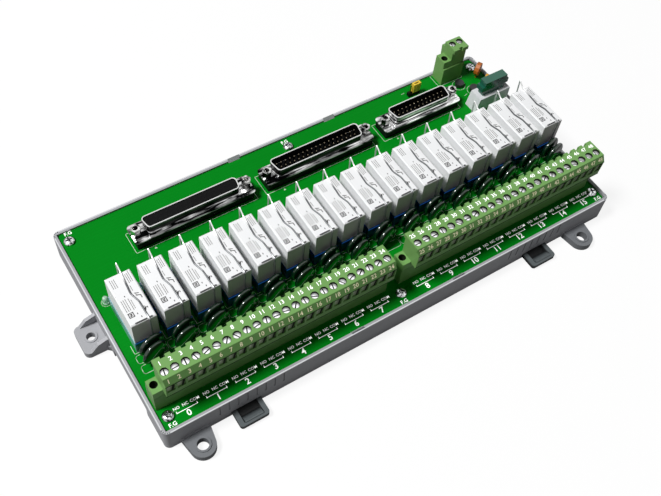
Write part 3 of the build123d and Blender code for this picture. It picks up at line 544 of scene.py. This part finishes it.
# painted shade: a dark strip a little down in each slot, as wide as the slot: (x, y) from -x0, -y0 to x0, y0
x0, y0, z = clampScrew["slot"] / 2, clampScrew["radius"] * clampScrew["shadeReach"], -clampScrew["shadeDrop"]
oneFace = np.array([[0, 1, 2, 3]])
slotShade = (np.array([(-x0, -y0, z), (x0, -y0, z), (x0, y0, z), (-x0, y0, z)]), oneFace)
slotShapes = []
rng = np.random.default_rng(4)
for side, plug in plugs.items():
    floor = plug["top"] - clampScrew["wellDepth"] + clampScrew["rise"]
    places = [(x, plug["screwY"], floor) for x in poleXs(plug)]
    turns = rng.uniform(0, np.pi, plug["poles"])
    makePiece(side + "_clamp_screw_heads", repeatAt(clampShape, places, turns), "zinc_plate",
              replaces=[side + "_clamp_screws"])
    slotShapes.append(repeatAt(slotShade, places, turns))
makePiece("clamp_slot_shades", join(*slotShapes), "polyamide_shadow", solid=False)

# painted shade on the walls of the screw wells and flange holes: dark open tubes seen from inside, as (radius,
# z from the top)
holeShades = {"well": [(1.9, -1.6), (1.9, -0.04), (2.03, -0.02)],
             "flange": [(0, -4.2), (1.92, -4.2), (1.92, -0.04)], "sides": 16}
wellPlaces = [(x, plug["screwY"], plug["top"]) for plug in plugs.values() for x in poleXs(plug)]
wells = repeatAt(revolve(holeShades["well"], holeShades["sides"]), wellPlaces)
flangePlaces = [plug["hole"] for plug in plugs.values()]
flangeHoles = repeatAt(revolve(holeShades["flange"], holeShades["sides"]), flangePlaces)
makePiece("plug_hole_shades", join(wells, flangeHoles), "polyamide_shadow", solid=False)

boardScrew = {"radius": 2.85, "height": 2.1, "fall": 0.55, "recess": 0.75, "reach": 1.55, "cut": 1.1,
              "grid": 27, "columns": (-129.5, 0, 129.5), "rows": (-55.3, 55.3)}
n, r = boardScrew["grid"], boardScrew["radius"]
u, v = np.meshgrid(np.linspace(-1, 1, n), np.linspace(-1, 1, n))
x = r * u * np.sqrt(1 - v ** 2 / 2)       # square to disc: x = r u sqrt(1 - v^2 / 2)
y = r * v * np.sqrt(1 - u ** 2 / 2)
away = np.hypot(x, y)
z = boardScrew["height"] * (1 - boardScrew["fall"] * (away / r) ** 4)
inCross = (np.minimum(abs(x), abs(y)) < boardScrew["recess"] / 2) & (away < boardScrew["reach"])
z = z - np.where(inCross, boardScrew["cut"], 0)
screwTop = (np.stack([x, y, z], -1).reshape(-1, 3), gridFaces(n, n, False))
# the rim has one side for each quad on the top's edge
screwRim = revolve([(r, boardScrew["height"] * (1 - boardScrew["fall"])), (r, 0.02), (0, 0.02)], 4 * (n - 1))
screwPlaces = [(x, y, board) for x in boardScrew["columns"] for y in boardScrew["rows"]]
turns = rng.uniform(0, np.pi / 2, len(screwPlaces))
screwHead = join(screwTop, screwRim)
makePiece("board_screw_heads", repeatAt(screwHead, screwPlaces, turns), "zinc_dark",
          replaces=["board_screws"])
print("screws made")

# connector contacts

contacts = {"pitch": 2.77, "rows": 2.84, "rowY": 38.8, "face": board + 6.4, "pinRise": 0.9, "holeRise": 5.72}
connectors = {
    "left": {"x": -67.9, "contacts": 37, "width": 54.84, "depth": 7.9, "halfFlange": 34.66},
    "middle": {"x": 8.3, "contacts": 37, "width": 56.42, "depth": 9.36, "halfFlange": 34.66},
    "right": {"x": 77.2, "contacts": 25, "width": 39.96, "depth": 9.36, "halfFlange": 26.52},
}


def contactPlaces(connector, z):
    # the longer row behind, the shorter one in front, half a pitch apart
    count = connector["contacts"]
    longRow = (count + 1) // 2
    back = (np.arange(longRow) - (longRow - 1) / 2) * contacts["pitch"]
    ahead = (np.arange(count - longRow) - (longRow - 2) / 2) * contacts["pitch"]
    x = np.concatenate([back, ahead]) + connector["x"]
    y = contacts["rowY"] + np.where(np.arange(count) < longRow, 1, -1) * contacts["rows"] / 2
    return np.stack([x, y, np.full(count, z)], -1)


# the round pins' ends: (radius, z) up a shaft to its rounded tip
pinTip = revolve([(0.5, 0), (0.5, 3.5), (0.4, 3.85), (0.2, 4.0), (0, 4.0)], sides=8)
for side in ("middle", "right"):
    places = contactPlaces(connectors[side], contacts["face"] + contacts["pinRise"])
    makePiece(side + "_connector_round_pins", repeatAt(pinTip, places), "gold_flash",
              replaces=[side + "_connector_pins"])
# the receptacle's contact holes in painted-shade black: a countersunk rim, r from 0.8 to 0.55, round a dark
# bottom
hole = revolve([(0.8, 0.02), (0.72, 0.06), (0.55, 0.01), (0, 0.01)], sides=12)
holePlaces = contactPlaces(connectors["left"], contacts["face"] + contacts["holeRise"])
makePiece("socket_contact_holes", repeatAt(hole, holePlaces), "pbt_black_painted_shade",
          solid=False)
print("contacts made")

# rolled edges of the shells
shells = {"flangeTop": board + 6.4, "rise": 6.0, "wall": 0.5, "corner": 2.2, "slant": math.radians(10),
          "rim": (0.34, 0.22), "insideShade": (0.95, 5.9)}


def shellOutline(width, depth, corner, steps=7):
    # a trapezium's corners as arcs, centre + corner (cos t, sin t), and the outward direction (cos t, sin t)
    lean = shells["slant"]
    halfBack, halfFront = width / 2, width / 2 - depth * math.tan(lean)
    insetBack = corner * math.tan(math.pi / 4 + lean / 2)       # from a corner's point to its arc's centre
    insetFront = corner * math.tan(math.pi / 4 - lean / 2)
    back, front = depth / 2 - corner, -depth / 2 + corner
    arcs = [(halfBack - insetBack, back, -lean, math.pi / 2),
            (-halfBack + insetBack, back, math.pi / 2, math.pi + lean),
            (-halfFront + insetFront, front, math.pi + lean, 1.5 * math.pi),
            (halfFront - insetFront, front, 1.5 * math.pi, 2 * math.pi - lean)]
    angles = np.concatenate([np.linspace(start, end, steps) for x, y, start, end in arcs])
    centres = np.repeat([(x, y) for x, y, start, end in arcs], steps, 0)
    outward = np.column_stack([np.cos(angles), np.sin(angles)])
    return centres + corner * outward, outward


def beadAlong(outline, outward, halfWidth, halfHeight, z, sides=8):
    # p + outward a cos t, z + b sin t: an ellipse carried round a closed outline
    t = np.linspace(0, 2 * np.pi, sides, endpoint=False)
    flat = outline[None] + outward[None] * (halfWidth * np.cos(t))[:, None, None]
    height = np.broadcast_to((z + halfHeight * np.sin(t))[:, None, None], flat.shape[:2] + (1,))
    points = np.concatenate([flat, height], -1)
    points = np.concatenate([points, points[:1]])
    return points.reshape(-1, 3), gridFaces(len(outline), sides + 1, True)


for side, connector in connectors.items():
    outline, outward = shellOutline(connector["width"], connector["depth"], shells["corner"])
    outline = outline + (connector["x"], contacts["rowY"])
    rim = beadAlong(outline - outward * shells["wall"] / 2, outward, *shells["rim"],
                    shells["flangeTop"] + shells["rise"])
    # the rolled edges are nickel painted near white, a painted highlight
    makePiece(side + "_connector_rolled_edges", rim, "nickel_edge_highlight")
    # painted shade inside the collar: a dark sheet on the outline moved in, from just over the contacts' face
    # to the rim
    inner = outline - outward * (shells["wall"] + 0.04)
    heights = np.repeat(shells["flangeTop"] + np.array(shells["insideShade"]), len(inner))
    insideShade = np.column_stack([np.vstack([inner, inner]), heights])
    makePiece(side + "_connector_inside_shade", (insideShade, gridFaces(len(inner), 2, True)), "pbt_black_painted_shade",
              solid=False)
print("shell edges made")


# printed marks

def strokes(runs, width, z):
    # each run (x0, y0, x1, y1) as a flat bar: both ends plus and minus half the width square to the run
    runs = np.asarray(runs, float)
    a, b = runs[:, :2], runs[:, 2:]
    along = (b - a) / np.linalg.norm(b - a, axis=1, keepdims=True)
    square = np.stack([-along[:, 1], along[:, 0]], -1) * width / 2
    a, b = a - along * width / 2, b + along * width / 2
    corners = np.stack([a - square, b - square, b + square, a + square], 1).reshape(-1, 2)
    points = np.column_stack([corners, np.full(len(corners), z)])
    return points, np.arange(len(points)).reshape(-1, 4)


def loop(points):
    # a closed outline as runs from each point to the next
    points = np.asarray(points, float)
    return np.column_stack([points, np.roll(points, -1, 0)])


def ringRuns(x, y, radius, sides=20):
    # runs round a circle: (x + r cos t, y + r sin t)
    t = np.linspace(0, 2 * np.pi, sides, endpoint=False)
    return loop(np.column_stack([x + radius * np.cos(t), y + radius * np.sin(t)]))


def roundedBox(x0, x1, y0, y1, corner, steps=5):
    # a box outline whose corners are quarter circles: centre + corner (cos(t + q pi / 2), sin(t + q pi / 2))
    t = np.linspace(0, np.pi / 2, steps)
    centres = [(x1 - corner, y1 - corner, 0), (x0 + corner, y1 - corner, 1), (x0 + corner, y0 + corner, 2),
               (x1 - corner, y0 + corner, 3)]
    arcs = [np.column_stack([x + corner * np.cos(t + q * np.pi / 2), y + corner * np.sin(t + q * np.pi / 2)])
            for x, y, q in centres]
    return loop(np.vstack(arcs))


wordShapes = {}


def word(text, height, place, up=(0, 1, 0)):
    # flat letters: place + X along x + Y along `up`, both scaled so that capitals are `height` tall
    if text not in wordShapes:
        curve = bpy.data.curves.new("letters", "FONT")
        curve.body, curve.align_x, curve.align_y = text, "CENTER", "CENTER"
        curve.resolution_u, curve.offset = 2, 0.018
        holder = bpy.data.objects.new("letters", curve)
        bpy.context.scene.collection.objects.link(holder)
        bpy.context.view_layer.update()
        graph = bpy.context.evaluated_depsgraph_get()
        mesh = bpy.data.meshes.new_from_object(holder.evaluated_get(graph))
        mesh.calc_loop_triangles()
        points = np.empty(len(mesh.vertices) * 3)
        faces = np.empty(len(mesh.loop_triangles) * 3, int)
        mesh.vertices.foreach_get("co", points)
        mesh.loop_triangles.foreach_get("vertices", faces)
        wordShapes[text] = points.reshape(-1, 3), faces.reshape(-1, 3)
        bpy.data.objects.remove(holder)
    points, faces = wordShapes[text]
    scale = height / 0.7       # the font's capitals are 0.7 of its size
    flat = points[:, :1] * np.array((1.0, 0, 0)) + points[:, 1:2] * np.asarray(up, float)
    return flat * scale + np.asarray(place, float), faces


def box(x0, x1, y0, y1):
    # a plain box as its four runs
    return loop([(x0, y0), (x1, y0), (x1, y1), (x0, y1)])


legend = {"z": board + 0.02, "line": 0.34, "numeral": 3.1, "numeralX": -0.2, "numeralY": -58.4,
          "label": 1.45, "labelY": -53.7, "labels": [("NO", -4.4), ("NC", 0.1), ("COM", 4.9)],
          "bracketHalf": 5.2, "bracketY": -56.1, "tickY": -55.3, "earth": 2.0,
          "earthPlaces": [(-129.3, -59.9), (130.2, -60.0), (-1.2, -60.0), (0.0, 59.4), (-128.2, 60.4)]}
z, low, high = legend["z"], legend["bracketY"], legend["tickY"]
boardWords, bracketRuns = [], []
for first, plug in zip((0, 8), fieldPlugs):
    for k, x in enumerate(poleXs(plug)[1::3]):       # the middle one of each relay's three poles
        numeralPlace = (x + legend["numeralX"], legend["numeralY"], z)
        boardWords.append(word(str(first + k), legend["numeral"], numeralPlace))
        for label, shift in legend["labels"]:
            boardWords.append(word(label, legend["label"], (x + shift, legend["labelY"], z)))
        left, right = x - legend["bracketHalf"], x + legend["bracketHalf"]
        bracketRuns += [(left, low, right, low), (left, low, left, high), (right, low, right, high)]
boardWords += [word("F.G", legend["earth"], (x, y, z)) for x, y in legend["earthPlaces"]]
brackets = toTriangles(strokes(bracketRuns, legend["line"], z))
makePiece("board_legend", join(*boardWords, brackets), "ink_white", solid=False)

# thin outlines round connectors, varistors, lamps and the small parts: offsets from a relay or plain places
outlines = {"line": 0.28, "connectorMargin": 0.7, "connectorY": (32.0, 45.6), "earthX": (-93.4, -17.0, 58.0),
            "earthBars": [(0.5, 30.1), (0.35, 30.4), (0.15, 30.8)], "discX": (-8.5, 7.3), "discCorner": 1.3,
            "discY": [(-25.2, -20.6), (-31.1, -26.5)], "jogX": (-7.9, -5.2), "jogY": (-14.4, -19.3),
            "lampRing": 2.4, "rings": [(114.5, 47.0, 3.9), (120.0, 39.6, 3.9)],
            "ticks": [(79.5, 57.6, 81.5, 57.6), (88.9, 50.6, 90.6, 50.6), (112.4, 38.5, 114.6, 38.9)],
            "supplyBox": (103.2, 120.6, 51.8, 61.5)}
boardRuns = []
for connector in connectors.values():
    half = connector["halfFlange"] + outlines["connectorMargin"]
    boardRuns.append(box(connector["x"] - half, connector["x"] + half, *outlines["connectorY"]))
for x in outlines["earthX"]:
    boardRuns.append([(x - half, y, x + half, y) for half, y in outlines["earthBars"]])
for x in relayX:
    x0, x1 = x + np.array(outlines["discX"])
    boardRuns += [roundedBox(x0, x1, *ends, outlines["discCorner"]) for ends in outlines["discY"]]
    (x0, x1), (y0, y1) = x + np.array(outlines["jogX"]), outlines["jogY"]
    boardRuns.append([(x0, y0, x0, y1), (x0, y1, x1, y1)])
    boardRuns.append(ringRuns(x + lamp["sideX"], lamp["rowY"], outlines["lampRing"]))
boardRuns += [ringRuns(*ring) for ring in outlines["rings"]]
boardRuns += [outlines["ticks"], box(*outlines["supplyBox"])]
makePiece("board_outlines", strokes(np.vstack(boardRuns), outlines["line"], z), "ink_thin_line",
          solid=False)
print("board legend made")

# a marker strip leans in the ledge under each field plug's top edge: corners (y, z) from the top edge round
markerStrip = {"section": [(-52.34, 44.9), (-54.26, 41.5), (-54.0, 41.4), (-51.7, 42.0)], "ends": 2.4}


def leaningStrip(x0, x1):
    # the section's corners at x0 and at x1, both ends closed by a point on their own first corner
    y, z = np.array(markerStrip["section"]).T
    ring = [np.column_stack([np.full(len(y), x), y, z]) for x in (x0, x1)]
    ends = [np.repeat(side[:1], len(y), 0) for side in ring]
    return np.vstack([ends[0], ring[0], ring[1], ends[1]]), gridFaces(len(y), 4, True)


plugLegend = {"topSize": 2.1, "tabY": -44.5, "bandSize": 2.2, "bandX": -0.3, "bandY": -53.33,
              "bandZ": 43.22, "lean": (0, 0.492, 0.871)}
tabWords, bandWords, stripShapes = [], [], []
for first, plug in zip((1, 25), fieldPlugs):
    xs = poleXs(plug)
    for k, x in enumerate(xs):
        tabPlace = (x, plugLegend["tabY"], plug["top"] + 0.02)
        bandPlace = (x + plugLegend["bandX"], plugLegend["bandY"], plugLegend["bandZ"])
        tabWords.append(word(str(first + k), plugLegend["topSize"], tabPlace))
        bandWords.append(word(str(first + k), plugLegend["bandSize"], bandPlace, plugLegend["lean"]))
    stripShapes.append(leaningStrip(xs[0] - markerStrip["ends"], xs[-1] + markerStrip["ends"]))


def frontStrokes(runs, width, y):
    # flat bars that stand in a front face: runs (x0, z0, x1, z1) at this y
    flat, faces = strokes(runs, width, y)
    return flat[:, [0, 2, 1]], faces


# each wire opening has a dark corner of painted shadow; painted shade lines at the step above the openings and
# under the plug's overhang below are (y, z, width)
plugFront = {"shadeY": -53.7, "shadeX": (0.7, 1.5), "shadeZ": (35.4, 39.6), "shadeWidth": 1.2, "past": 2.5,
             "lines": [(-54.33, 40.85, 0.5), (-53.86, 31.0, 0.55)]}
poleX = np.concatenate([poleXs(plug) for plug in fieldPlugs])
(x0, x1), (z0, z1) = plugFront["shadeX"], plugFront["shadeZ"]
cornerShades = np.column_stack([poleX + x0, np.full(len(poleX), z0), poleX + x1, np.full(len(poleX), z1)])
past = plugFront["past"]
lineEnds = [(poleXs(plug)[0] - past, poleXs(plug)[-1] + past) for plug in fieldPlugs]
frontShades = [frontStrokes(cornerShades, plugFront["shadeWidth"], plugFront["shadeY"])]
for y, z, width in plugFront["lines"]:
    frontShades.append(frontStrokes([(start, z, end, z) for start, end in lineEnds], width, y))
makePiece("plug_front_shadows", join(*frontShades), "polyamide_shadow", solid=False)
makePiece("plug_top_numbers", join(*tabWords), "ink_white", solid=False)
makePiece("plug_marker_strips", join(*stripShapes), "polyamide_olive", smooth=False)
makePiece("plug_front_numbers", join(*bandWords), "ink_warm_white", solid=False)
print("plug numbers made")

# rows of small dashes stand for the relays' faded print: (place across, start, end) along the case
relayPrint = {"z": relays["top"] + 0.02, "dash": (0.35, 0.8), "dashes": 24, "gap": 0.5, "overrun": 0.4,
              "fadedLine": 0.34, "clearLine": 0.42, "edgeLine": 0.7,
              "faded": [(-4.7, 7.0, 12.6), (-3.7, 6.9, 12.0), (-2.7, 6.9, 12.8),
                        (3.0, 6.6, 12.6), (3.9, 7.0, 12.9), (4.8, 7.0, 13.2),
                        (-4.7, -7.2, 0.1), (-3.7, -7.2, 0.1), (-2.7, -7.0, -0.3), (-1.3, -7.4, -0.6),
                        (-0.4, -7.0, -1.2), (2.5, 2.2, 5.4), (3.0, -1.4, 0.6), (3.4, -9.6, -7.6)],
              "clear": [(-2.1, 0.7, 1.7), (-0.8, -10.3, -9.3), (0.2, -12.6, -11.6), (4.7, -3.2, -1.0),
                        (4.6, -9.4, -8.4)],
              "symbolBox": (-4.8, -2.5, -10.3, -7.9),
              "symbols": [(-4.1, -9.6, -3.2, -8.6), (-4.1, -8.6, -3.2, -8.6), (-4.1, -9.6, -3.2, -9.6),
                          (2.4, -9.4, 4.0, -8.2), (3.2, -9.8, 4.0, -8.2), (2.6, 0.9, 4.2, 0.2),
                          (2.8, -0.4, 4.4, -1.1)],
              "edge": [(-3.7, -13.9, 1.5, -13.9), (2.9, -13.9, 4.2, -13.9)]}


def dashes(rows):
    # along each row, dashes of uneven length with the same gap between them
    runs = []
    for across, start, end in rows:
        lengths = rng.uniform(*relayPrint["dash"], relayPrint["dashes"])
        ends = start + np.cumsum(lengths + relayPrint["gap"])
        keep = ends < end + relayPrint["overrun"]
        column = np.full(keep.sum(), across)
        runs.append(np.column_stack([column, (ends - lengths)[keep], column, ends[keep]]))
    return np.vstack(runs)


z = relayPrint["z"]
fadedMarks = strokes(dashes(relayPrint["faded"]), relayPrint["fadedLine"], z)
clearRuns = np.vstack([dashes(relayPrint["clear"]), box(*relayPrint["symbolBox"]), relayPrint["symbols"]])
clearMarks = strokes(clearRuns, relayPrint["clearLine"], z)
edgeMarks = strokes(relayPrint["edge"], relayPrint["edgeLine"], z)
relayPlaces = [(x, relays["rowY"], 0) for x in relayX]
makePiece("relay_print", repeatAt(fadedMarks, relayPlaces), "ink_grey", solid=False)
makePiece("relay_edge_marks", repeatAt(join(edgeMarks, clearMarks), relayPlaces), "ink_black",
          solid=False)
print("relay print made")

# painted highlights along the sockets' top front edges, and painted shade in the slot in the end face of their
# row
socketEdge = {"y": -18.93, "z": 22.75, "width": 1.0, "half": 6.1}
endSlot = {"x": -127.47, "y": (-3.3, 7.6), "z": (16.4, 17.6)}
level = np.full(len(relayX), socketEdge["z"])
edgeRuns = np.column_stack([relayX - socketEdge["half"], level, relayX + socketEdge["half"], level])
(y0, y1), (z0, z1) = endSlot["y"], endSlot["z"]
slotCorners = np.array([(endSlot["x"], y, z) for y, z in ((y0, z0), (y0, z1), (y1, z1), (y1, z0))])
makePiece("socket_end_slot_shade", (slotCorners, oneFace), "pbt_black_painted_shade", solid=False)
edgeHighlights = frontStrokes(edgeRuns, socketEdge["width"], socketEdge["y"])
makePiece("socket_edge_highlights", edgeHighlights, "polycarbonate_edge_highlight", solid=False)

# a painted highlight along the carrier rim's outer edge
rimLine = {"inset": 0.4, "corner": 2.6, "width": 0.55, "z": 16.02}
halfX, halfY = carrier["halfLength"] - rimLine["inset"], carrier["halfWidth"] - rimLine["inset"]
rimRuns = roundedBox(-halfX, halfX, -halfY, halfY, rimLine["corner"])
makePiece("rim_edge_highlight", strokes(rimRuns, rimLine["width"], rimLine["z"]), "abs_edge_highlight",
          solid=False)
print("edges made")

# camera, light, floor

eye = {"place": (-0.173916, -0.216168, 0.389981), "lens": 47.72,
       "right": (0.842, -0.5354, 0.0662), "down": (-0.4125, -0.7182, -0.5604),
       "ahead": (0.3476, 0.4446, -0.8255)}
cameraData = bpy.data.cameras.new("camera")
cameraData.lens, cameraData.sensor_width, cameraData.clip_start = eye["lens"], 36.0, 0.01
camera = bpy.data.objects.new("camera", cameraData)
axes = np.array([eye["right"], -np.array(eye["down"]), -np.array(eye["ahead"])]).T
camera.matrix_world = Matrix.Translation(eye["place"]) @ Matrix(axes.tolist()).to_4x4()
bpy.context.scene.collection.objects.link(camera)
bpy.context.scene.camera = camera

lights = {
    "key": {"place": (-1.44, 0.4, 2.5), "size": 0.65, "watts": 102.0},
    "front": {"place": (0.5, -1.0, 0.3), "size": 0.9, "watts": 0.8},
}
for name, look in lights.items():
    data = bpy.data.lights.new(name, "AREA")
    data.shape, data.size, data.energy = "SQUARE", look["size"], look["watts"]
    light = bpy.data.objects.new(name, data)
    place = np.array(look["place"])
    back = place / np.linalg.norm(place)
    side = np.cross((0, 0, 1), back)
    side /= np.linalg.norm(side)
    axes = np.array([side, np.cross(back, side), back]).T
    light.matrix_world = Matrix.Translation(look["place"]) @ Matrix(axes.tolist()).to_4x4()
    bpy.context.scene.collection.objects.link(light)

world = bpy.data.worlds.new("studio")
bpy.context.scene.world = world
world.use_nodes = True
tree = world.node_tree
tree.nodes.clear()
rays = addNode(tree, "LightPath")
straight = addNode(tree, "Math", {"operation": "MAXIMUM"},
                   links={0: (rays, "Is Camera Ray"), 1: (rays, "Is Transmission Ray")})
seen = addNode(tree, "Math", {"operation": "MAXIMUM"}, links={0: (straight, 0), 1: (rays, "Is Glossy Ray")})
bright = addNode(tree, "MapRange", values={"To Min": 0.05, "To Max": 1.0}, links={"Value": (seen, 0)})
sky = addNode(tree, "Background", values={"Color": (1, 1, 1, 1)}, links={"Strength": (bright, "Result")})
addNode(tree, "OutputWorld", links={"Surface": (sky, "Background")})

reach = 4
floorMesh = bpy.data.meshes.new("floor")
floorMesh.from_pydata([(-reach, -reach, 0), (reach, -reach, 0), (reach, reach, 0), (-reach, reach, 0)], [],
                      [(0, 1, 2, 3)])
floorObject = bpy.data.objects.new("floor", floorMesh)
bpy.context.scene.collection.objects.link(floorObject)
floorMaterial = bpy.data.materials.new("paper_white")
floorMaterial.use_nodes = True
tree = floorMaterial.node_tree
tree.nodes.clear()
rays = addNode(tree, "LightPath")
shade = addNode(tree, "Mix", {"data_type": "RGBA"}, {6: toLinear("#8c8c8c"), 7: toLinear("#f4f4f4")},
                {0: (rays, "Is Camera Ray")})
paper = addNode(tree, "BsdfDiffuse", links={"Color": (shade, 2)})
glow = addNode(tree, "Emission", values={"Color": (1, 1, 1, 1), "Strength": 1.0})
share = addNode(tree, "Math", {"operation": "MULTIPLY"}, {1: 0.88}, {0: (rays, "Is Camera Ray")})
both = addNode(tree, "MixShader", links={0: (share, 0), 1: (paper, "BSDF"), 2: (glow, "Emission")})
addNode(tree, "OutputMaterial", links={"Surface": (both, "Shader")})
floorMesh.materials.append(floorMaterial)
bpy.context.scene.view_settings.view_transform = "Standard"
print("camera, light and floor set")
